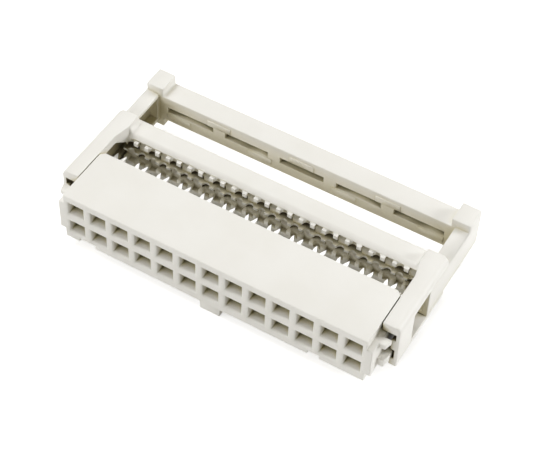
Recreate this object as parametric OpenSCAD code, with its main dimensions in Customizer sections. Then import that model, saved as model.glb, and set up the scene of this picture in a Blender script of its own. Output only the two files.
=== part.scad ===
// Two-row insulation displacement socket for flat ribbon cable, shown open:
// the cover stands off the housing and the strain relief stands off the cover.
// X runs along the contact rows, the mating face is at Y = 0 and looks along -Y,
// Z is up and the origin is the centre of the mating face.

/* [Contact grid] */
// Contacts in each of the two rows
columns = 13; // [3:1:25]
// Distance between neighbouring contacts and between the rows
pitch = 2.54; // [2.45:0.01:2.75]

/* [Housing] */
// From the centre of the last contact to the end of the housing
end_wall = 1.36; // [1.2:0.01:1.8]
// From the mating face to the rear edge
housing_depth = 6.75; // [6.5:0.05:9]
// Height of the housing
housing_height = 6; // [5.6:0.1:7]
// Chamfer of the rear corners
rear_chamfer = 0.4; // [0.1:0.05:0.6]
// Height of the wire bed that stands out behind the housing
bed_height = 3.4; // [3:0.1:3.8]
// How far the wire bed stands out
bed_depth = 0.85; // [0.6:0.05:1.2]
// Width of a pin socket's mouth
socket_w = 1.7; // [1.5:0.02:1.8]
// Height of a pin socket's mouth
socket_h = 1.5; // [1.4:0.02:1.7]
// Depth of a pin socket
socket_depth = 5.4; // [4.5:0.05:5.6]
// Lead-in chamfer around a socket's mouth
lead_in = 0.18; // [0.05:0.01:0.24]

/* [Polarising key and notches] */
// Width of the key under the housing
key_w = 2.2; // [1.5:0.1:5]
// Height of the key
key_h = 1; // [0.5:0.1:1.5]
// Length of the key from the mating face
key_depth = 5; // [2:0.1:6]
// Depth of the two notches in the lower front edge
notch_depth = 0.7; // [0.3:0.05:0.9]
// Height of those notches
notch_h = 0.45; // [0.2:0.05:0.55]
// From the left end of the housing to the centre of the left notch
notch_left_in = 2.5; // [2:0.1:4.5]
// Width of the left notch
notch_left_w = 1.8; // [0.8:0.1:2.4]
// From the right end of the housing to the centre of the right notch
notch_right_in = 5.3; // [3:0.1:7]
// Width of the right notch
notch_right_w = 1.25; // [0.8:0.05:2.4]

/* [Rails and hooks] */
// Width of the rail at each end of the housing
rail_w = 0.6; // [0.4:0.05:0.9]
// Height of the rails
rail_h = 3.7; // [3.3:0.1:4]
// Reach of the upper hooks past the rails
hook_reach = 0.86; // [0.6:0.02:1.1]
// Reach of the lower hooks past the rails
low_hook_reach = 0.86; // [0.3:0.02:0.9]
// Thickness of the upper hooks
hook_t = 0.6; // [0.4:0.05:0.8]
// Height of the lower hooks
low_hook_t = 1; // [0.5:0.05:1.2]
// Foot of the lower hooks below the middle of the connector
low_hook_drop = 1.4; // [0.8:0.05:1.6]
// From the mating face to the front of a hook
hook_y = 1.25; // [0.9:0.05:1.4]
// Length of a hook along the rail
hook_len = 0.95; // [0.7:0.05:1.1]
// Length of the guide ribs behind the lower hooks
low_rib_run = 1; // [0.3:0.05:1.15]

/* [Contacts] */
// Thickness of the contact strip
strip_t = 0.28; // [0.2:0.01:0.32]
// Half width of the strip inside the socket
strip_half = 0.62; // [0.55:0.01:0.68]
// Thickness of the two spring beams
beam_t = 0.16; // [0.1:0.01:0.2]
// Height of the spring beams above the strip
beam_h = 1.02; // [0.6:0.02:1.1]
// From the mating face to the front of the contact
contact_front = 1.2; // [0.6:0.05:1.8]
// Gap between the beams where they grip a pin
grip = 0.56; // [0.4:0.02:0.64]
// Width of the fork
fork_w = 1.2; // [1:0.01:1.3]
// Width of the slot that cuts into the wire
fork_slot_w = 0.28; // [0.2:0.01:0.36]
// How far the fork stands out of the wire bed
fork_reach = 1.45; // [1:0.05:1.7]
// Depth of the fork's slot
fork_slot_depth = 1.25; // [0.8:0.05:1.5]
// Length of the prongs' points
fork_point = 0.75; // [0.3:0.05:0.9]
// The strip narrows to the fork this much before and after the socket's end
neck_margin = 0.2; // [0.1:0.05:0.4]

/* [Cover] */
// Travel of the cover from open to pressed home
cover_travel = 2.4; // [1.6:0.05:2.6]
// Arm ends behind the mating face with the cover pressed home
arm_setback = 0.3; // [0:0.05:0.6]
// Thickness of the arm's outer web
web_t = 0.8; // [0.7:0.02:1]
// Room between the rail and the web
web_gap = 0.55; // [0.4:0.05:0.7]
// How far the web reaches below the middle of the connector
web_drop = 2.55; // [2.45:0.05:3]
// Chamfer along the arm's top edge
arm_chamfer = 0.38; // [0.1:0.02:0.5]
// Solid length of the web in front of the guide slot
web_front = 3.1; // [3:0.05:3.6]
// The arm ends this much in front of the bar's rear face
arm_end = 0.5; // [0.2:0.05:1]
// Inward taper of the flange towards the bar
flange_taper = 0.4; // [0.2:0.05:0.6]
// Run of the slope from the flange down to the bar's top
gusset_run = 0.3; // [0.1:0.05:0.5]
// Top of the bar above the middle of the connector
bar_top = 2.1; // [2:0.05:2.5]
// From the tips of the comb to the rear of the bar
bar_depth = 2.7; // [2.4:0.05:4]
// Top of the comb's teeth above the middle of the connector
comb_top = 1.5; // [1.4:0.05:1.7]
// Reach of the teeth past the sloped band over them
tooth_reach = 0.34; // [0.2:0.02:0.44]
// From the tips of the teeth to the band's upper edge
band_run = 0.56; // [0.46:0.01:0.8]
// Diameter of a wire groove
wire_d = 0.8; // [0.7:0.01:1]
// Depth of the cross channels between the three rows of teeth
channel_depth = 0.54; // [0.45:0.02:0.7]
// Thickness of the middle row of teeth
mid_row = 0.26; // [0.2:0.02:0.4]
// Room between the comb and the wire bed with the cover home
wire_gap = 0.5; // [0.3:0.05:0.8]
// Room beside a fork in its pocket
pocket_side = 0.15; // [0.05:0.01:0.2]
// Room above and below a fork in its pocket
pocket_above = 0.23; // [0.1:0.01:0.25]
// Room ahead of a fork in its pocket with the cover home
pocket_end = 0.5; // [0.3:0.05:0.8]
// How far the bar reaches past the ends of the housing
bar_past = 0.25; // [0.15:0.01:0.3]
// Chamfer of the bar's rear edges
bar_chamfer = 0.15; // [0.05:0.05:0.4]

/* [Strain relief] */
// Travel of the strain relief from open to pressed home
relief_travel = 3.2; // [2:0.05:3.6]
// Room for the folded cable with the strain relief home
cable_gap = 1.04; // [0.6:0.02:1.6]
// Depth of the strain relief's bar
relief_depth = 2.5; // [2:0.05:3.5]
// Height of the strain relief's bar
relief_h = 3.24; // [2.8:0.04:3.6]
// Chamfer of that bar's rear edges
relief_chamfer = 0.15; // [0.1:0.05:0.6]
// Height of the slots in the front of the bar
relief_slot_h = 0.74; // [0.4:0.02:1]
// Depth of those slots
relief_slot_depth = 1.7; // [0.6:0.05:1.8]
// Width of the ribs between the slots
relief_rib = 1.48; // [0.8:0.02:2]
// Distance between those ribs
rib_step = 6.48; // [4:0.02:8]
// From the bar's end to the first slot
relief_end = 0.68; // [0.5:0.02:1.2]
// Raised grip pads on the front of the bar
pad_t = 0.08; // [0.04:0.01:0.12]
// Width of a grip pad
pad_w = 2.8; // [1.5:0.1:3.4]
// Height of a grip pad
pad_h = 0.7; // [0.3:0.05:0.9]
// From the strain relief's slots to a grip plate
pad_gap = 0.08; // [0.04:0.01:0.2]
// Top of a leg above the middle of the connector
leg_top = 1.72; // [1.4:0.02:1.74]
// Underside of a leg below the middle of the connector
leg_drop = 1.95; // [1.7:0.05:2.05]
// Thickness of a leg's two flanges
leg_flange = 0.45; // [0.35:0.05:0.7]
// Thickness of a leg's outer web
leg_web = 0.55; // [0.4:0.05:0.65]
// A leg's outer face lies this much inside the cover's
leg_inset = 0.02; // [0:0.01:0.15]
// The hollow of a leg ends this much in front of the bar
leg_end = 0.4; // [0.2:0.05:1]
// Height of the end blocks above the middle
block_top = 2.65; // [2.3:0.05:2.9]
// Drop of the end blocks below the middle
block_drop = 2.7; // [2.3:0.05:2.9]
// Width of the lower end blocks
block_low_w = 1.3; // [0.8:0.05:1.8]

/* [Fits] */
// Running clearance of the sliding pieces
run_gap = 0.1; // [0.05:0.01:0.15]
// Clearance of a contact in its socket
seat_gap = 0.02; // [0.01:0.01:0.04]
// Clearance of a fork in its slot
fork_gap = 0.08; // [0.04:0.01:0.1]

/* [Hidden] */
$fn = 32;
over = 0.1;
wire_pitch = pitch / 2;
row_z = pitch / 2;
// housing
grid_half = (columns - 1) * pitch / 2;
house_x = grid_half + end_wall;
top_z = housing_height / 2;
bed_y = housing_depth + bed_depth;
rail_x = house_x + rail_w;
rail_z = rail_h / 2;
// contacts
strip_z = row_z - socket_h / 2 + seat_gap;
fork_z = strip_z + strip_t / 2;
fork_x = wire_pitch / 2;
fork_y = bed_y + fork_reach;
fork_room = fork_w + 2 * fork_gap;
fork_room_h = strip_t + 2 * fork_gap;
// cover
tip_y = bed_y + wire_gap + cover_travel;
bar_rear = tip_y + bar_depth;
face_y = tip_y + channel_depth;
mid_z = mid_row / 2;
pocket_w = fork_w + 2 * pocket_side;
pocket_z = fork_z + strip_t / 2 + pocket_above;
pocket_y = tip_y - wire_gap + fork_reach + pocket_end;
arm_front = arm_setback + cover_travel;
arm_rear = bar_rear - arm_end;
flange_x = house_x + run_gap;
flange_z = rail_z + run_gap;
web_in = rail_x + web_gap;
web_out = web_in + web_t;
slot_front = arm_front + web_front;
slot_top = leg_top + run_gap;
slot_drop = leg_drop + run_gap;
taper_y = housing_depth + cover_travel;
bar_x = house_x + bar_past;
flange_in = flange_x - flange_taper;
// strain relief
relief_y = bar_rear + cable_gap + relief_travel;
relief_rear = relief_y + relief_depth;
relief_z = relief_h / 2;
relief_x = house_x;
leg_front = slot_front + relief_travel;
leg_out = web_out - leg_inset;
leg_in = bar_x + run_gap;
leg_neck = rail_x + run_gap;
neck_y = housing_depth + cover_travel + relief_travel + 2 * run_gap;
slot_x = relief_x - relief_end;
rib_pairs = floor((slot_x - relief_rib / 2) / rib_step + 0.5);
pad_step = 0.75 * rib_step;
pad_z = relief_slot_h / 2 + pad_gap;
pad_pairs = floor((relief_x - pad_w / 2) / pad_step);

function two(i) = str(i < 10 ? "0" : "", i);
function column_x(i) = (i - 1) * pitch - grid_half;

// an (x, z) profile drawn along Y
module along_y(y0, y1) {
    translate([0, y1, 0])
        rotate([90, 0, 0])
            linear_extrude(height = y1 - y0)
                children();
}

// a (y, z) profile drawn along X
module along_x(x0, x1) {
    translate([x0, 0, 0])
        rotate([90, 0, 90])
            linear_extrude(height = x1 - x0)
                children();
}

// an (x, y) outline drawn along Z
module along_z(z0, z1) {
    translate([0, 0, z0])
        linear_extrude(height = z1 - z0)
            children();
}

// a box between two corners
module box(a, b) {
    translate(a)
        cube(b - a);
}

module both_ends() {
    children();
    mirror([1, 0, 0])
        children();
}

// four-sided lead-in of a socket's mouth
module mouth(x, z) {
    w = socket_w / 2;
    h = socket_h / 2;
    wide = lead_in + over;
    intersection() {
        along_z(z - h - wide, z + h + wide)
            polygon([[x - w - wide, -over], [x + w + wide, -over], [x + w, lead_in], [x - w, lead_in]]);
        along_x(x - w - wide, x + w + wide)
            polygon([[-over, z - h - wide], [-over, z + h + wide], [lead_in, z + h], [lead_in, z - h]]);
    }
}

// socket, mouth and fork slot of one contact; side is 1 for the upper row
module cavity(i, side) {
    x = column_x(i);
    z = side * row_z;
    fx = x - side * fork_x;
    translate([x - socket_w / 2, -over, z - socket_h / 2])
        cube([socket_w, socket_depth + over, socket_h]);
    mouth(x, z);
    translate([fx - fork_room / 2, socket_depth - over, side * fork_z - fork_room_h / 2])
        cube([fork_room, bed_y - socket_depth + 2 * over, fork_room_h]);
}

// hook on a rail: a wedge that widens to the rear
module hook(reach, z0, z1) {
    root = rail_x - rail_w / 2;
    hook_end = hook_y + hook_len;
    along_z(z0, z1)
        polygon([
            [root, hook_y],
            [rail_x + 0.75 * reach, hook_y],
            [rail_x + reach, hook_end - 0.05 * hook_len],
            [rail_x + 0.9 * reach, hook_end],
            [root, hook_end]
        ]);
}

// notch in the lower front edge
module notch(x, w) {
    box([x - w / 2, -over, -top_z - over], [x + w / 2, notch_depth, notch_h - top_z]);
}

module housing() {
    color([0.83, 0.82, 0.79])
    difference() {
        union() {
            along_z(-top_z, top_z)
                polygon([
                    [-house_x, 0],
                    [house_x, 0],
                    [house_x, housing_depth - rear_chamfer],
                    [house_x - rear_chamfer, housing_depth],
                    [-house_x + rear_chamfer, housing_depth],
                    [-house_x, housing_depth - rear_chamfer]
                ]);
            // wire bed
            box([-house_x + rear_chamfer, housing_depth - over, -bed_height / 2],
                [house_x - rear_chamfer, bed_y, bed_height / 2]);
            both_ends() {
                box([house_x - over, 0, -rail_z], [rail_x, housing_depth, rail_z]);
                hook(hook_reach, rail_z - hook_t, rail_z);
                hook(low_hook_reach, -low_hook_drop, low_hook_t - low_hook_drop);
                box([rail_x - over, hook_y + hook_len - over, -low_hook_drop],
                    [rail_x + 0.9 * low_hook_reach, hook_y + hook_len + low_rib_run,
                     low_hook_t - low_hook_drop]);
            }
            // polarising key
            box([-key_w / 2, 0, -top_z - key_h], [key_w / 2, key_depth, over - top_z]);
        }
        for (i = [1 : columns], side = [-1, 1])
            cavity(i, side);
        // cradles of the wires in the bed
        for (k = [0 : 2 * columns - 1])
            translate([(k - columns + 0.5) * wire_pitch, bed_y + wire_gap / 2, -bed_height / 2 - over])
                cylinder(d = wire_d, h = bed_height + 2 * over);
        notch(notch_left_in - house_x, notch_left_w);
        notch(house_x - notch_right_in, notch_right_w);
    }
}

// outline of the strip: plate in the socket, neck and forked end
module strip_outline() {
    plate_end = socket_depth - neck_margin;
    neck_end = socket_depth + neck_margin;
    f = -fork_x;
    w = fork_w / 2;
    s = fork_slot_w / 2;
    point = s + 0.78 * (w - s);
    shoulder = fork_y - fork_point / 2;
    polygon([
        [-strip_half, contact_front],
        [strip_half, contact_front],
        [strip_half, plate_end],
        [f + w, plate_end],
        [f + w, shoulder],
        [f + point, fork_y],
        [f + s, fork_y - fork_point],
        [f + s, fork_y - fork_slot_depth],
        [f - s, fork_y - fork_slot_depth],
        [f - s, fork_y - fork_point],
        [f - point, fork_y],
        [f - w, shoulder],
        [f - w, neck_end],
        [-strip_half, neck_end]
    ]);
}

// outline of one spring beam, bowed in where it grips the pin
module beam_outline() {
    bow = strip_half - beam_t - grip / 2;
    polygon([
        [strip_half, contact_front],
        [strip_half - bow, contact_front + 0.7],
        [strip_half - bow, contact_front + 1],
        [strip_half, contact_front + 2.2],
        [strip_half, socket_depth - 0.9],
        [strip_half - beam_t, socket_depth - 0.9],
        [strip_half - beam_t, contact_front + 2.2],
        [strip_half - beam_t - bow, contact_front + 1],
        [strip_half - beam_t - bow, contact_front + 0.7],
        [strip_half - beam_t, contact_front]
    ]);
}

// one contact; side is 1 for the upper row, and the lower row is turned over
module contact(i, side) {
    color([0.78, 0.77, 0.74])
    translate([column_x(i), 0, 0])
        rotate([0, side > 0 ? 0 : 180, 0]) {
            along_z(strip_z, strip_z + strip_t)
                strip_outline();
            both_ends()
                along_z(strip_z + strip_t - 0.02, strip_z + strip_t + beam_h)
                    beam_outline();
        }
}

// section of an arm: flange on top, web outside, bevelled top edge
module arm_section() {
    polygon([
        [flange_x, flange_z],
        [web_in, flange_z],
        [web_in, -web_drop],
        [web_out, -web_drop],
        [web_out, top_z - arm_chamfer],
        [web_out - arm_chamfer, top_z],
        [flange_x, top_z]
    ]);
}

// outline of the flange where it widens towards the bar, out to x
module widening(x, y) {
    polygon([
        [x, y],
        [x, arm_rear],
        [flange_in, arm_rear],
        [flange_in, tip_y + tooth_reach],
        [flange_x, y]
    ]);
}

// right arm of the cover with the sleeve that guides a strain relief leg
module arm() {
    difference() {
        union() {
            along_y(arm_front, arm_rear)
                arm_section();
            // the flange widens towards the bar
            along_z(flange_z, top_z)
                widening(web_in, taper_y);
            // inner wall under the flange, its foot sloping down to the bar
            intersection() {
                along_z(pocket_z, top_z - over)
                    widening(bar_x, taper_y + run_gap);
                along_x(flange_in, bar_x)
                    polygon([
                        [taper_y, top_z],
                        [taper_y, flange_z],
                        [tip_y, pocket_z],
                        [arm_rear, pocket_z],
                        [arm_rear, top_z]
                    ]);
            }
            // slope from the flange down to the bar
            along_y(tip_y + band_run, arm_rear)
                polygon([
                    [bar_x, bar_top - over],
                    [bar_x, top_z - over],
                    [flange_in, top_z - over],
                    [flange_in - gusset_run, bar_top],
                    [flange_in - gusset_run, bar_top - over]
                ]);
            // floor of the sleeve
            box([leg_neck, slot_front, -web_drop], [web_out, arm_rear, -slot_drop]);
            box([bar_x - over, tip_y, -web_drop], [leg_neck + over, arm_rear, -slot_drop]);
        }
        // guide slot, open at the rear
        box([web_in - over, slot_front, -slot_drop], [web_out + over, arm_rear + over, slot_top]);
        // pockets that clear the hooks
        box([web_in - over, arm_front - over, rail_z - hook_t - run_gap],
            [rail_x + hook_reach + run_gap, slot_front + over, flange_z]);
        box([web_in - over, arm_front - over, -low_hook_drop - run_gap],
            [rail_x + low_hook_reach + run_gap, slot_front + over, low_hook_t - low_hook_drop + run_gap]);
    }
}

// section of the cover's bar: the comb's teeth stand out under a sloped band
module bar_section() {
    polygon([
        [tip_y, comb_top],
        [tip_y + tooth_reach, comb_top],
        [tip_y + band_run, bar_top],
        [bar_rear - bar_chamfer, bar_top],
        [bar_rear, bar_top - bar_chamfer],
        [bar_rear, bar_chamfer - web_drop],
        [bar_rear - bar_chamfer, -web_drop],
        [tip_y, -web_drop]
    ]);
}

// cut from the comb's tips back to y, between two heights that turn over for the lower row
module comb_cut(x, w, y, side, z0, z1) {
    translate([x - w / 2, tip_y - over, side > 0 ? z0 : -z1])
        cube([w, y - tip_y + over, z1 - z0]);
}

// pocket of one fork, the round groove of its wire and the flat groove of the wire beside it
module fork_cuts(i, side) {
    x = column_x(i) - side * fork_x;
    comb_cut(x, pocket_w, pocket_y, side, mid_z, pocket_z);
    comb_cut(x + 2 * side * fork_x, wire_d, face_y, side, mid_z, comb_top);
    translate([x, tip_y, side > 0 ? -mid_z : -comb_top])
        cylinder(d = wire_d, h = comb_top + mid_z);
}

module cover() {
    color([0.85, 0.84, 0.81])
    difference() {
        union() {
            along_x(-bar_x, bar_x)
                bar_section();
            both_ends()
                arm();
        }
        for (side = [-1, 1]) {
            // cross channel between two rows of teeth
            comb_cut(0, 2 * (bar_x + over), face_y, side, mid_z, pocket_z);
            for (i = [1 : columns])
                fork_cuts(i, side);
        }
    }
}

// leg of the strain relief: a channel open towards the middle
module leg() {
    difference() {
        union() {
            box([leg_neck, leg_front, -leg_drop], [leg_out, relief_y + over, leg_top]);
            box([leg_in, neck_y, -leg_drop], [leg_out, relief_y + over, leg_top]);
        }
        box([leg_in - over, leg_front - over, leg_flange - leg_drop],
            [leg_out - leg_web, relief_y - leg_end, leg_top - leg_flange]);
    }
}

module strain_relief() {
    color([0.84, 0.83, 0.8])
    union() {
        difference() {
            along_x(-relief_x, relief_x)
                polygon([
                    [relief_y, -relief_z],
                    [relief_y, relief_z],
                    [relief_rear - relief_chamfer, relief_z],
                    [relief_rear, relief_z - relief_chamfer],
                    [relief_rear, relief_chamfer - relief_z],
                    [relief_rear - relief_chamfer, -relief_z]
                ]);
            // one long slot, parted by ribs
            difference() {
                box([-slot_x, relief_y - over, -relief_slot_h / 2],
                    [slot_x, relief_y + relief_slot_depth, relief_slot_h / 2]);
                for (k = [0 : 2 * rib_pairs - 1])
                    translate([
                        (k - rib_pairs + 0.5) * rib_step - relief_rib / 2,
                        relief_y - 2 * over,
                        -relief_z
                    ])
                        cube([relief_rib, relief_depth, relief_h]);
            }
        }
        // grip pads in zigzag along the upper and lower front edges
        for (k = [-pad_pairs : pad_pairs])
            translate([
                k * pad_step - pad_w / 2,
                relief_y - pad_t,
                k % 2 == 0 ? pad_z : -pad_z - pad_h
            ])
                cube([pad_w, pad_t + over, pad_h]);
        both_ends() {
            leg();
            // end blocks that close the legs
            box([relief_x - over, relief_y, -leg_drop], [leg_out, relief_rear, block_top]);
            box([relief_x - over, relief_y, -block_drop],
                [relief_x + block_low_w, relief_rear, over - leg_drop]);
        }
    }
}

housing();
cover();
strain_relief();
for (i = [1 : columns]) {
    contact(i, 1);
    contact(i, -1);
}
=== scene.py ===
"""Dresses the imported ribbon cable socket: softened mouldings, tinned contacts, studio stage."""
import math

import bmesh
import bpy
from mathutils import Matrix, Vector


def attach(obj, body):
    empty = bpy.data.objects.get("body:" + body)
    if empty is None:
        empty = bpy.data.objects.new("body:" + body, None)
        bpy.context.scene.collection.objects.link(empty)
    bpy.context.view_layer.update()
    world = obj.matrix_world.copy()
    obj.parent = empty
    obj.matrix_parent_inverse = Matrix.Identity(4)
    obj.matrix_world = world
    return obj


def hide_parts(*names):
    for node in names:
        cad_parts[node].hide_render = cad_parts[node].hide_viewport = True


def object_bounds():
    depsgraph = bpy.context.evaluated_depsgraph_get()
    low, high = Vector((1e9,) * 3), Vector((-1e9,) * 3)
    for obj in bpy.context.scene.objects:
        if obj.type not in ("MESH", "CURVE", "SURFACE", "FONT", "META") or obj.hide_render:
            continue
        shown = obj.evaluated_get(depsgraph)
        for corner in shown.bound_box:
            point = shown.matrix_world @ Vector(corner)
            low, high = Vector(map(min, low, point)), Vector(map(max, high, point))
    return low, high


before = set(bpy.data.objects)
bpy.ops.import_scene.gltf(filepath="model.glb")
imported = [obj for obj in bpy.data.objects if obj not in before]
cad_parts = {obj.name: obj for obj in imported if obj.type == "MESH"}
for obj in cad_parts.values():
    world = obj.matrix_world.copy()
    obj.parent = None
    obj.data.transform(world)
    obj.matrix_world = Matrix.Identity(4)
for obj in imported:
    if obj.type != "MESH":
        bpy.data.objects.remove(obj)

CAD_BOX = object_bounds()
MM = 0.001

# sizes of the part, in millimetres
PITCH = 2.54           # between two columns of contacts
SLOT_STEP = 6.48       # between two slots of the strain relief
PLATE_STEP = 4.86      # between two grip plates of the strain relief
LIP = 0.41             # height of the cuts between those slots and plates
STOP_GAP = 0.02        # by which the strain relief stops short of the cover

# rounding of edges
FLAT = math.radians(1)                     # a smaller turn is a seam in a flat
BEND = math.radians(40)                    # a larger turn is an edge to round
LOOK_PAST = 3                              # radii over which room is looked for
ROOM_USED = 0.85                           # share of the room that roundings may take
PROBES = (0.06, 0.3, 0.5, 0.7, 0.94)       # places along an edge where its room is measured
SEGMENTS = 4

# painted shade: how enclosed a point is where the painted shade is deepest, half and gone, and how far
# that looks in metres
HOUSING_PAINTED_SHADE = (0.13, 0.25, 0.36, 0.0025)
COVER_PAINTED_SHADE = (0.20, 0.36, 0.62, 0.004)
RELIEF_PAINTED_SHADE = (0.05, 0.23, 0.88, 0.006)

# stage, in metres and watts
FLOOR_SIZE = 3.0
FLOOR_TONE = (0.86, 0.86, 0.86, 1)
FLOOR_LIFT = 0.62
SKY_TONE = (1.0, 0.90, 0.52, 1)
WHITE = (1, 1, 1, 1)
LAMP_SIZE = 0.12
LAMP_TONE = (0.94, 0.955, 1.0)
LAMP_AIM = (0, 0.009, 0)
LAMP_PLACES = {
    "key": (-0.2028, 0.0, 0.3448),
    "front_left": (-0.273, -0.1755, 0.234),
    "front": (-0.08, -0.34, 0.20),
    "side": (0.323, 0.202, 0.121),
    "back": (0.0, 0.256, 0.307),
}

# camera, fitted to the photo
SENSOR = 36.0
CAMERA_PLACE = (47.1134, -75.7854, 113.3969)
CAMERA_TURN = math.radians(28.393)
CAMERA_DIP = math.radians(49.463)
CAMERA_ROLL = math.radians(2.7083)

bl_info = {
    "name": "Ribbon cable socket",
    "version": (1, 0, 0),
    "blender": (4, 5, 0),
    "location": "3D View > Sidebar > Socket",
    "description": "Finishes the mouldings and contacts of a two-row ribbon cable socket",
    "category": "Object",
}


# settings

class SocketMouldSettings(bpy.types.PropertyGroup):
    """Finish of the three plastic mouldings."""
    colour: bpy.props.FloatVectorProperty(
        name="Plastic colour", description="Colour of the pale warm grey plastic",
        subtype="COLOR", size=3, min=0.0, max=1.0, default=(0.84, 0.822, 0.775))
    shade: bpy.props.FloatVectorProperty(
        name="Plastic shade", description="Colour of the faint darker clouds in the plastic",
        subtype="COLOR", size=3, min=0.0, max=1.0, default=(0.818, 0.798, 0.745))
    # painted shade: olive colour painted into partly enclosed plastic, where shade and warm
    # interreflection fall
    painted_half_shade: bpy.props.FloatVectorProperty(
        name="Hollow colour", description="Colour of the plastic in shallow hollows",
        subtype="COLOR", size=3, min=0.0, max=1.0, default=(0.60, 0.54, 0.35))
    # painted shade: near-black colour painted deep inside holes and grooves, where shade falls
    painted_deep_shade: bpy.props.FloatVectorProperty(
        name="Recess colour", description="Colour of the plastic deep inside holes and grooves",
        subtype="COLOR", size=3, min=0.0, max=1.0, default=(0.11, 0.09, 0.05))
    edge: bpy.props.FloatProperty(
        name="Edge radius", description="Radius of the softened edges",
        subtype="DISTANCE", unit="LENGTH", min=0.0, default=0.10 * MM)
    band: bpy.props.FloatProperty(
        name="Band radius", description="Radius of the cover's edge over the comb",
        subtype="DISTANCE", unit="LENGTH", min=0.0, default=0.46 * MM)
    arm: bpy.props.FloatProperty(
        name="Arm radius", description="Radius of the arms' outer top edges",
        subtype="DISTANCE", unit="LENGTH", min=0.0, default=0.25 * MM)
    block: bpy.props.FloatProperty(
        name="Block radius", description="Radius of the outer edges of the strain relief's end blocks",
        subtype="DISTANCE", unit="LENGTH", min=0.0, default=0.25 * MM)
    grain: bpy.props.FloatProperty(
        name="Grain", description="Depth of the fine spark-eroded grain", min=0.0, max=1.0, default=0.20)


class SocketContactSettings(bpy.types.PropertyGroup):
    """Finish of the contacts."""
    colour: bpy.props.FloatVectorProperty(
        name="Tin colour", description="Colour of the tinned strip",
        subtype="COLOR", size=3, min=0.0, max=1.0, default=(0.93, 0.92, 0.89))
    roughness: bpy.props.FloatProperty(
        name="Tin roughness", description="How dull the tin is", min=0.0, max=1.0, default=0.45)


class SocketStageSettings(bpy.types.PropertyGroup):
    """Floor, lamps and camera."""
    lens: bpy.props.FloatProperty(
        name="Lens", description="Focal length of the camera in millimetres", min=10.0, default=102.3045)
    sky: bpy.props.FloatProperty(
        name="Sky", description="Strength of the even light from all round", min=0.0, default=0.14)
    key: bpy.props.FloatProperty(
        name="Key lamp", description="Power of the high lamp at the left", subtype="POWER",
        min=0.0, default=0.56)
    front_left: bpy.props.FloatProperty(
        name="Front left lamp", description="Power of the lamp at the front left", subtype="POWER",
        min=0.0, default=0.33)
    front: bpy.props.FloatProperty(
        name="Front lamp", description="Power of the lamp in front", subtype="POWER",
        min=0.0, default=0.45)
    side: bpy.props.FloatProperty(
        name="Side lamp", description="Power of the low lamp at the rear right", subtype="POWER",
        min=0.0, default=0.98)
    back: bpy.props.FloatProperty(
        name="Back lamp", description="Power of the lamp behind", subtype="POWER", min=0.0, default=0.40)


# shader groups shared by the finishes

def group_start(name, inputs, outputs):
    """An empty shader node group with its sockets, and its in and out nodes."""
    tree = bpy.data.node_groups.new(name, "ShaderNodeTree")
    for label, kind, value in inputs:
        socket = tree.interface.new_socket(name=label, in_out="INPUT", socket_type=kind)
        socket.default_value = value
    for label, kind in outputs:
        tree.interface.new_socket(name=label, in_out="OUTPUT", socket_type=kind)
    return tree, tree.nodes.new("NodeGroupInput"), tree.nodes.new("NodeGroupOutput")


def node(tree, kind, place=(0, 0), **values):
    """One node with its settings."""
    made = tree.nodes.new(kind)
    made.location = place
    for key, value in values.items():
        setattr(made, key, value)
    return made


def grain_group():
    """Clouds of two tones, and a fine moulded grain as a height."""
    tree, enter, leave = group_start(
        "moulded_grain",
        [("Tone", "NodeSocketColor", (0.8, 0.8, 0.8, 1)),
         ("Shade", "NodeSocketColor", (0.7, 0.7, 0.7, 1)),
         ("Cloud Scale", "NodeSocketFloat", 260.0), ("Grain Scale", "NodeSocketFloat", 9000.0),
         ("Roughness", "NodeSocketFloat", 0.5)],
        [("Color", "NodeSocketColor"), ("Roughness", "NodeSocketFloat"), ("Height", "NodeSocketFloat")])
    link = tree.links.new
    place = node(tree, "ShaderNodeTexCoord", (-900, 0))
    cloud = node(tree, "ShaderNodeTexNoise", (-600, 200))
    cloud.inputs["Detail"].default_value = 3.0
    fine = node(tree, "ShaderNodeTexNoise", (-600, -150))
    fine.inputs["Detail"].default_value = 4.0
    link(place.outputs["Object"], cloud.inputs["Vector"])
    link(place.outputs["Object"], fine.inputs["Vector"])
    link(enter.outputs["Cloud Scale"], cloud.inputs["Scale"])
    link(enter.outputs["Grain Scale"], fine.inputs["Scale"])
    spread = node(tree, "ShaderNodeMapRange", (-380, 200))
    spread.inputs["From Min"].default_value = 0.35
    spread.inputs["From Max"].default_value = 0.68
    link(cloud.outputs["Fac"], spread.inputs["Value"])
    blend = node(tree, "ShaderNodeMix", (-150, 200), data_type="RGBA")
    link(spread.outputs["Result"], blend.inputs["Factor"])
    link(enter.outputs["Tone"], blend.inputs["A"])
    link(enter.outputs["Shade"], blend.inputs["B"])
    link(blend.outputs["Result"], leave.inputs["Color"])
    dull = node(tree, "ShaderNodeMapRange", (-150, -50))
    dull.inputs["To Min"].default_value = -0.06
    dull.inputs["To Max"].default_value = 0.06
    link(fine.outputs["Fac"], dull.inputs["Value"])
    add = node(tree, "ShaderNodeMath", (50, -50), operation="ADD")
    link(dull.outputs["Result"], add.inputs[0])
    link(enter.outputs["Roughness"], add.inputs[1])
    link(add.outputs["Value"], leave.inputs["Roughness"])
    link(fine.outputs["Fac"], leave.inputs["Height"])
    return tree


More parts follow.
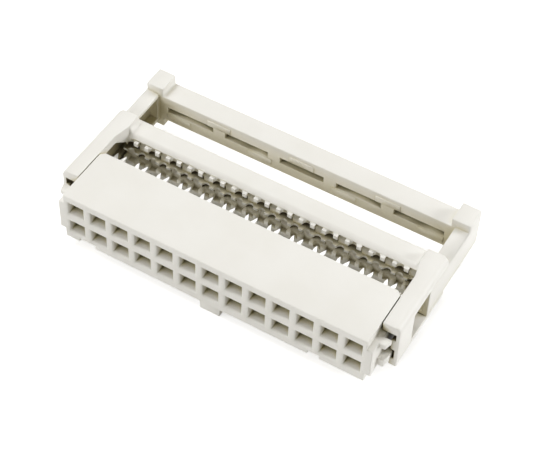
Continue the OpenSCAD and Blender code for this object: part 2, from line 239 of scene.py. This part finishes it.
def painted_shade_group():
    """Paints shade into a tone: an olive painted shade where neighbours or its own piece enclose it, and
    a dark painted shade deep inside.
    """
    tree, enter, leave = group_start(
        "recess_tint",
        [("Tone", "NodeSocketColor", (0.8, 0.8, 0.8, 1)),
         ("Hollow", "NodeSocketColor", (0.6, 0.6, 0.5, 1)),
         ("Recess", "NodeSocketColor", (0.1, 0.1, 0.1, 1)),
         ("Deep", "NodeSocketFloat", 0.08), ("Half", "NodeSocketFloat", 0.30),
         ("Open", "NodeSocketFloat", 0.68), ("Reach", "NodeSocketFloat", 0.0025)],
        [("Color", "NodeSocketColor")])
    link = tree.links.new
    # painted shade: ambient occlusion, from neighbouring pieces too, sets how far the colour is painted
    # towards the shade colours
    room = node(tree, "ShaderNodeAmbientOcclusion", (-500, 0), samples=16)
    link(enter.outputs["Reach"], room.inputs["Distance"])
    last = enter.outputs["Recess"]
    bands = (("Deep", "Half", "Hollow"), ("Half", "Open", "Tone"))
    for count, (start, end, tone) in enumerate(bands):
        spread = node(tree, "ShaderNodeMapRange", (-250, -250 * count),
                      interpolation_type="SMOOTHSTEP")
        link(room.outputs["AO"], spread.inputs["Value"])
        link(enter.outputs[start], spread.inputs["From Min"])
        link(enter.outputs[end], spread.inputs["From Max"])
        blend = node(tree, "ShaderNodeMix", (250 * count, 0), data_type="RGBA")
        link(spread.outputs["Result"], blend.inputs["Factor"])
        link(last, blend.inputs["A"])
        link(enter.outputs[tone], blend.inputs["B"])
        last = blend.outputs["Result"]
    link(last, leave.inputs["Color"])
    return tree


def shared_group(name, build):
    """The named group, made the first time it is asked for."""
    return bpy.data.node_groups.get(name) or build()


def new_material(name):
    """An empty node material with its shader and output."""
    material = bpy.data.materials.new(name)
    material.use_nodes = True
    tree = material.node_tree
    tree.nodes.clear()
    out = node(tree, "ShaderNodeOutputMaterial", (500, 0))
    shader = node(tree, "ShaderNodeBsdfPrincipled", (200, 0))
    tree.links.new(shader.outputs["BSDF"], out.inputs["Surface"])
    return material, tree, shader


def moulded_plastic(name, painted_shade_levels):
    """Pale warm grey plastic, satin, with fine grain and painted shade in its hollows and recesses."""
    if name in bpy.data.materials:
        return bpy.data.materials[name]
    look = bpy.context.scene.socket_mould
    material, tree, shader = new_material(name)
    grain = node(tree, "ShaderNodeGroup", (-400, 0))
    grain.node_tree = shared_group("moulded_grain", grain_group)
    grain.inputs["Tone"].default_value = (*look.colour, 1)
    grain.inputs["Shade"].default_value = (*look.shade, 1)
    grain.inputs["Roughness"].default_value = 0.46
    # painted shade: the base colour is darkened to olive where the plastic is enclosed and to near black
    # deep inside holes
    deep = node(tree, "ShaderNodeGroup", (-100, 100))
    deep.node_tree = shared_group("recess_tint", painted_shade_group)
    deep.inputs["Hollow"].default_value = (*look.painted_half_shade, 1)
    deep.inputs["Recess"].default_value = (*look.painted_deep_shade, 1)
    for label, value in zip(("Deep", "Half", "Open", "Reach"), painted_shade_levels):
        deep.inputs[label].default_value = value
    bump = node(tree, "ShaderNodeBump", (-100, -250))
    bump.inputs["Strength"].default_value = look.grain
    bump.inputs["Distance"].default_value = 0.02 * MM
    tree.links.new(grain.outputs["Color"], deep.inputs["Tone"])
    tree.links.new(deep.outputs["Color"], shader.inputs["Base Color"])
    tree.links.new(grain.outputs["Roughness"], shader.inputs["Roughness"])
    tree.links.new(grain.outputs["Height"], bump.inputs["Height"])
    tree.links.new(bump.outputs["Normal"], shader.inputs["Normal"])
    shader.inputs["IOR"].default_value = 1.5
    shader.inputs["Specular IOR Level"].default_value = 0.4
    return material


def tinned_strip():
    """Tin plated copper alloy with faint stains."""
    name = "tinned_strip"
    if name in bpy.data.materials:
        return bpy.data.materials[name]
    look = bpy.context.scene.socket_contact
    material, tree, shader = new_material(name)
    grain = node(tree, "ShaderNodeGroup", (-400, 0))
    grain.node_tree = shared_group("moulded_grain", grain_group)
    grain.inputs["Tone"].default_value = (*look.colour, 1)
    grain.inputs["Shade"].default_value = tuple(0.82 * c for c in look.colour) + (1,)
    grain.inputs["Cloud Scale"].default_value = 1800.0
    grain.inputs["Grain Scale"].default_value = 14000.0
    grain.inputs["Roughness"].default_value = look.roughness
    bump = node(tree, "ShaderNodeBump", (-100, -250))
    bump.inputs["Strength"].default_value = 0.12
    bump.inputs["Distance"].default_value = 0.01 * MM
    tree.links.new(grain.outputs["Color"], shader.inputs["Base Color"])
    tree.links.new(grain.outputs["Roughness"], shader.inputs["Roughness"])
    tree.links.new(grain.outputs["Height"], bump.inputs["Height"])
    tree.links.new(bump.outputs["Normal"], shader.inputs["Normal"])
    shader.inputs["Metallic"].default_value = 0.6
    return material


# modelling helpers

def take_only(obj):
    """Selects one object alone and makes it active."""
    if bpy.context.object and bpy.context.object.mode != "OBJECT":
        bpy.ops.object.mode_set(mode="OBJECT")
    bpy.ops.object.select_all(action="DESELECT")
    obj.select_set(True)
    bpy.context.view_layer.objects.active = obj


def dress(obj, material):
    """Gives an object one material."""
    obj.data.materials.clear()
    obj.data.materials.append(material)


def turn_of(edge):
    """Angle between an edge's two faces, above zero where the edge stands out."""
    return edge.calc_face_angle_signed(0.0) if len(edge.link_faces) == 2 else 0.0


def inside(point, box):
    """Whether a point in metres lies between two corners in millimetres."""
    return all(low <= at / MM <= high for low, at, high in zip(box[0], point, box[1]))


def room_beside(loop, start, reach, rounded):
    """Room for a rounding on one side of an edge, measured over flat seams to the next bend."""
    ahead = (loop.link_loop_next.vert.co - loop.vert.co).normalized()
    inward = loop.face.normal.cross(ahead)
    face, came, gone = loop.face, loop.edge, 0.0
    while gone < LOOK_PAST * reach:
        best, across = None, None
        for side in face.loops:
            if side.edge is came:
                continue
            a = side.vert.co - start
            b = side.link_loop_next.vert.co - start
            over_a, over_b = a.dot(ahead), b.dot(ahead)
            if over_a * over_b > 0 or over_a == over_b:
                continue
            share = over_a / (over_a - over_b)
            far = a.dot(inward) * (1 - share) + b.dot(inward) * share
            if far > gone and (best is None or far < best):
                best, across = far, side.edge
        if across is None:
            return min(reach, gone)
        gone = best
        if abs(turn_of(across)) > FLAT:
            return min(reach, ROOM_USED * gone * reach / (reach + rounded.get(across, 0.0)))
        came = across
        face = next(f for f in came.link_faces if f is not face)
    return reach


def clean_copy(name, cuts):
    """A copy of a CAD moulding, merged to clean flats between cuts.

    Each cut is a plane: a point in millimetres and a normal.
    """
    piece = bpy.data.objects.new(name + "_moulding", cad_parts[name].data.copy())
    bpy.context.scene.collection.objects.link(piece)
    take_only(piece)
    bpy.ops.object.mode_set(mode="EDIT")
    bpy.ops.mesh.select_all(action="SELECT")
    bpy.ops.mesh.remove_doubles(threshold=1e-6)
    for point, normal in cuts:
        bpy.ops.mesh.select_all(action="SELECT")
        bpy.ops.mesh.bisect(plane_co=[c * MM for c in point], plane_no=normal)
        bpy.ops.mesh.mark_seam()
    bpy.ops.mesh.select_all(action="SELECT")
    bpy.ops.mesh.dissolve_limited(angle_limit=math.radians(0.5), delimit={"SEAM"})
    bpy.ops.mesh.mark_seam(clear=True)
    bpy.ops.object.mode_set(mode="OBJECT")
    return piece


def round_edges(piece, radius, crisp=(), rounder=()):
    """Rounds each sharp edge that stands out, as far as it has room.

    Edges in a crisp box stay as they are; edges in a rounder box get its own radius.
    """
    shape = bmesh.new()
    shape.from_mesh(piece.data)
    weight = shape.edges.layers.float.new("bevel_weight_edge")
    rounded = {}
    for edge in shape.edges:
        middle = (edge.verts[0].co + edge.verts[1].co) / 2
        if turn_of(edge) > BEND and not any(inside(middle, box) for box in crisp):
            wider = [wide for low, high, wide in rounder if inside(middle, (low, high))]
            rounded[edge] = max([radius, *wider])
    widest = max(rounded.values())
    for edge, reach in rounded.items():
        rooms = []
        for loop in edge.link_loops:
            for share in PROBES:
                start = loop.vert.co.lerp(loop.link_loop_next.vert.co, share)
                rooms.append(room_beside(loop, start, reach, rounded))
        edge[weight] = min(rooms) / widest
    shape.to_mesh(piece.data)
    shape.free()
    take_only(piece)
    round_off = piece.modifiers.new("round_off", "BEVEL")
    round_off.width = widest
    round_off.segments = SEGMENTS
    round_off.limit_method = "WEIGHT"
    round_off.use_clamp_overlap = False
    bpy.ops.object.modifier_apply(modifier=round_off.name)
    bpy.ops.object.shade_smooth_by_angle(angle=BEND)


def ease_front(piece, gap):
    """Sets the foremost points of a piece back, so that at its stop it does not touch."""
    foremost = min(point.co.y for point in piece.data.vertices)
    for point in piece.data.vertices:
        if point.co.y < foremost + gap:
            point.co.y += gap


def finish_piece(piece, body, node_name, material):
    """Gives a piece its finish and its body, and hides the CAD node that it stands for."""
    dress(piece, material)
    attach(piece, body)
    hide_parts(node_name)


# pieces

class SOCKET_OT_housing(bpy.types.Operator):
    """Makes the housing with softened edges"""
    bl_idname = "socket.housing"
    bl_label = "Housing"

    def execute(self, context):
        cuts = [((0, 0, k * 2.8), (0, 0, 1)) for k in (-1, 0, 1)]
        cuts += [(((k + 0.5) * PITCH, 0, 0), (1, 0, 0)) for k in range(-7, 7)]
        piece = clean_copy("housing", cuts)
        cells = ((-16.7, 2.5, -2.6), (16.7, 7.55, 2.6))
        key_foot = [((side * 1.185 - 0.09, -0.05, -3.05), (side * 1.185 + 0.09, 0.05, -2.95))
                    for side in (-1, 1)]
        round_edges(piece, context.scene.socket_mould.edge, crisp=[cells, *key_foot])
        plastic = moulded_plastic("housing_plastic", HOUSING_PAINTED_SHADE)
        finish_piece(piece, "housing", "housing", plastic)
        return {"FINISHED"}


class SOCKET_OT_cover(bpy.types.Operator):
    """Makes the toothed cover with softened edges"""
    bl_idname = "socket.cover"
    bl_label = "Cover"

    def execute(self, context):
        look = context.scene.socket_mould
        cuts = [((side * 15.8, 0, 0), (1, 0, 0)) for side in (-1, 1)]
        cuts += [((0, y, 0), (0, 1, 0)) for y in (3.4, 9.6)]
        piece = clean_copy("cover", cuts)
        comb = ((-16.6, 10.4, -1.6), (16.6, 12.2, 1.52))
        band = ((-16.6, 11.0, 2.05), (16.6, 11.1, 2.15), look.band)
        arms = [((side * 18.3 - 0.3, 2.0, 2.5), (side * 18.3 + 0.3, 13.0, 3.1), look.arm)
                for side in (-1, 1)]
        round_edges(piece, look.edge, crisp=[comb], rounder=[band, *arms])
        plastic = moulded_plastic("cover_plastic", COVER_PAINTED_SHADE)
        finish_piece(piece, "cover", "cover", plastic)
        return {"FINISHED"}


class SOCKET_OT_strain_relief(bpy.types.Operator):
    """Makes the strain relief with softened edges"""
    bl_idname = "socket.strain_relief"
    bl_label = "Strain relief"

    def execute(self, context):
        look = context.scene.socket_mould
        slots = [k * SLOT_STEP for k in range(-2, 3)]
        cuts = [((0, 0, side * LIP), (0, 0, 1)) for side in (-1, 1)]
        cuts += [((x, 0, 0), (1, 0, 0)) for x in (-16.3, *slots, 16.3)]
        cuts += [((k * PLATE_STEP, 0, 0), (1, 0, 0)) for k in (-3, -2, -1, 1, 2, 3)]
        piece = clean_copy("strain_relief", cuts)
        ease_front(piece, STOP_GAP * MM)
        blocks = [((side * 18.2 - 0.5, 17.0, 1.7), (side * 18.2 + 0.5, 20.1, 3.6), look.block)
                  for side in (-1, 1)]
        lips = [((-16.2, 17.3, side * LIP - 0.06), (16.2, 17.5, side * LIP + 0.06))
                for side in (-1, 1)]
        round_edges(piece, look.edge, crisp=lips, rounder=blocks)
        plastic = moulded_plastic("strain_relief_plastic", RELIEF_PAINTED_SHADE)
        finish_piece(piece, "strain_relief", "strain_relief", plastic)
        return {"FINISHED"}


class SOCKET_OT_contacts(bpy.types.Operator):
    """Gives the contacts their tinned finish"""
    bl_idname = "socket.contacts"
    bl_label = "Contacts"

    def execute(self, context):
        tin = tinned_strip()
        for name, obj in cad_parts.items():
            if name.startswith("contact"):
                dress(obj, tin)
        return {"FINISHED"}


# stage

def lamp(name, power):
    """A square soft lamp at its place, turned to the part."""
    light = bpy.data.lights.new(name, "AREA")
    light.shape = "SQUARE"
    light.size = LAMP_SIZE
    light.energy = power
    light.color = LAMP_TONE
    obj = bpy.data.objects.new(name, light)
    bpy.context.scene.collection.objects.link(obj)
    place = Vector(LAMP_PLACES[name])
    obj.location = place
    obj.rotation_euler = (Vector(LAMP_AIM) - place).to_track_quat("-Z", "Y").to_euler()


def seen_straight(tree):
    """A value that is 1 for camera, glossy and transmission rays."""
    path = node(tree, "ShaderNodeLightPath", (-700, 0))
    last = path.outputs["Is Camera Ray"]
    for count, ray in enumerate(("Is Glossy Ray", "Is Transmission Ray")):
        either = node(tree, "ShaderNodeMath", (-500 + 170 * count, 0), operation="MAXIMUM")
        tree.links.new(last, either.inputs[0])
        tree.links.new(path.outputs[ray], either.inputs[1])
        last = either.outputs[0]
    return last


def white_floor_material():
    """White floor that keeps the shadow and shows white to the camera and in reflections."""
    material = bpy.data.materials.new("white_floor")
    material.use_nodes = True
    tree = material.node_tree
    tree.nodes.clear()
    out = node(tree, "ShaderNodeOutputMaterial", (600, 0))
    matt = node(tree, "ShaderNodeBsdfDiffuse", (0, 100))
    matt.inputs["Color"].default_value = FLOOR_TONE
    lift = node(tree, "ShaderNodeEmission", (0, -100))
    lift.inputs["Color"].default_value = WHITE
    level = node(tree, "ShaderNodeMath", (-120, -100), operation="MULTIPLY")
    level.inputs[1].default_value = FLOOR_LIFT
    both = node(tree, "ShaderNodeAddShader", (300, 0))
    link = tree.links.new
    link(seen_straight(tree), level.inputs[0])
    link(level.outputs[0], lift.inputs["Strength"])
    link(matt.outputs[0], both.inputs[0])
    link(lift.outputs[0], both.inputs[1])
    link(both.outputs[0], out.inputs["Surface"])
    return material


class SOCKET_OT_stage(bpy.types.Operator):
    """Sets the floor, lamps, sky and camera"""
    bl_idname = "socket.stage"
    bl_label = "Stage"

    def execute(self, context):
        look = context.scene.socket_stage
        scene = context.scene
        bpy.ops.object.select_all(action="DESELECT")
        bpy.ops.mesh.primitive_plane_add(size=FLOOR_SIZE)
        floor = context.object
        floor.name = "floor"
        floor.data.transform(Matrix.Translation((0, 0, CAD_BOX[0][2] - 0.02 * MM)))
        dress(floor, white_floor_material())

        world = bpy.data.worlds.new("studio")
        scene.world = world
        world.use_nodes = True
        tree = world.node_tree
        tree.nodes.clear()
        out = node(tree, "ShaderNodeOutputWorld", (500, 0))
        sky = node(tree, "ShaderNodeBackground", (0, 100))
        sky.inputs["Color"].default_value = SKY_TONE
        sky.inputs["Strength"].default_value = look.sky
        white = node(tree, "ShaderNodeBackground", (0, -100))
        white.inputs["Color"].default_value = WHITE
        white.inputs["Strength"].default_value = 1.0
        pick = node(tree, "ShaderNodeMixShader", (250, 0))
        tree.links.new(seen_straight(tree), pick.inputs["Fac"])
        tree.links.new(sky.outputs[0], pick.inputs[1])
        tree.links.new(white.outputs[0], pick.inputs[2])
        tree.links.new(pick.outputs[0], out.inputs["Surface"])

        for name in LAMP_PLACES:
            lamp(name, getattr(look, name))

        lens = bpy.data.cameras.new("photo_view")
        lens.sensor_width = SENSOR
        lens.sensor_fit = "HORIZONTAL"
        lens.lens = look.lens
        lens.clip_start = 0.001
        eye = bpy.data.objects.new("photo_view", lens)
        scene.collection.objects.link(eye)
        flat = math.cos(CAMERA_DIP)
        ahead = Vector((-math.sin(CAMERA_TURN) * flat, math.cos(CAMERA_TURN) * flat,
                        -math.sin(CAMERA_DIP)))
        level = ahead.cross(Vector((0, 0, 1))).normalized()
        above = level.cross(ahead)
        right = level * math.cos(CAMERA_ROLL) + above * math.sin(CAMERA_ROLL)
        up = right.cross(ahead)
        place = Vector(CAMERA_PLACE) * MM
        eye.matrix_world = Matrix((
            (right.x, up.x, -ahead.x, place.x),
            (right.y, up.y, -ahead.y, place.y),
            (right.z, up.z, -ahead.z, place.z),
            (0, 0, 0, 1)))
        scene.camera = eye
        scene.view_settings.view_transform = "Standard"
        return {"FINISHED"}


class SOCKET_PT_panel(bpy.types.Panel):
    """Lists the settings and the steps"""
    bl_idname = "SOCKET_PT_panel"
    bl_label = "Ribbon cable socket"
    bl_space_type = "VIEW_3D"
    bl_region_type = "UI"
    bl_category = "Socket"

    def draw(self, context):
        for name in SETTINGS:
            group = getattr(context.scene, name)
            box = self.layout.box()
            for key in group.bl_rna.properties.keys():
                if key not in {"rna_type", "name"}:
                    box.prop(group, key)
        for step in STEPS:
            self.layout.operator(step.bl_idname)


SETTINGS = {"socket_mould": SocketMouldSettings, "socket_contact": SocketContactSettings,
            "socket_stage": SocketStageSettings}
STEPS = (SOCKET_OT_housing, SOCKET_OT_cover, SOCKET_OT_strain_relief,
         SOCKET_OT_contacts, SOCKET_OT_stage)


def register():
    for name, group in SETTINGS.items():
        bpy.utils.register_class(group)
        setattr(bpy.types.Scene, name, bpy.props.PointerProperty(type=group))
    for step in (*STEPS, SOCKET_PT_panel):
        bpy.utils.register_class(step)


def unregister():
    for step in (SOCKET_PT_panel, *reversed(STEPS)):
        bpy.utils.unregister_class(step)
    for name, group in reversed(SETTINGS.items()):
        delattr(bpy.types.Scene, name)
        bpy.utils.unregister_class(group)


def main():
    register()
    bpy.ops.socket.housing()
    bpy.ops.socket.cover()
    bpy.ops.socket.strain_relief()
    bpy.ops.socket.contacts()
    bpy.ops.socket.stage()


if __name__ == "__main__":
    main()
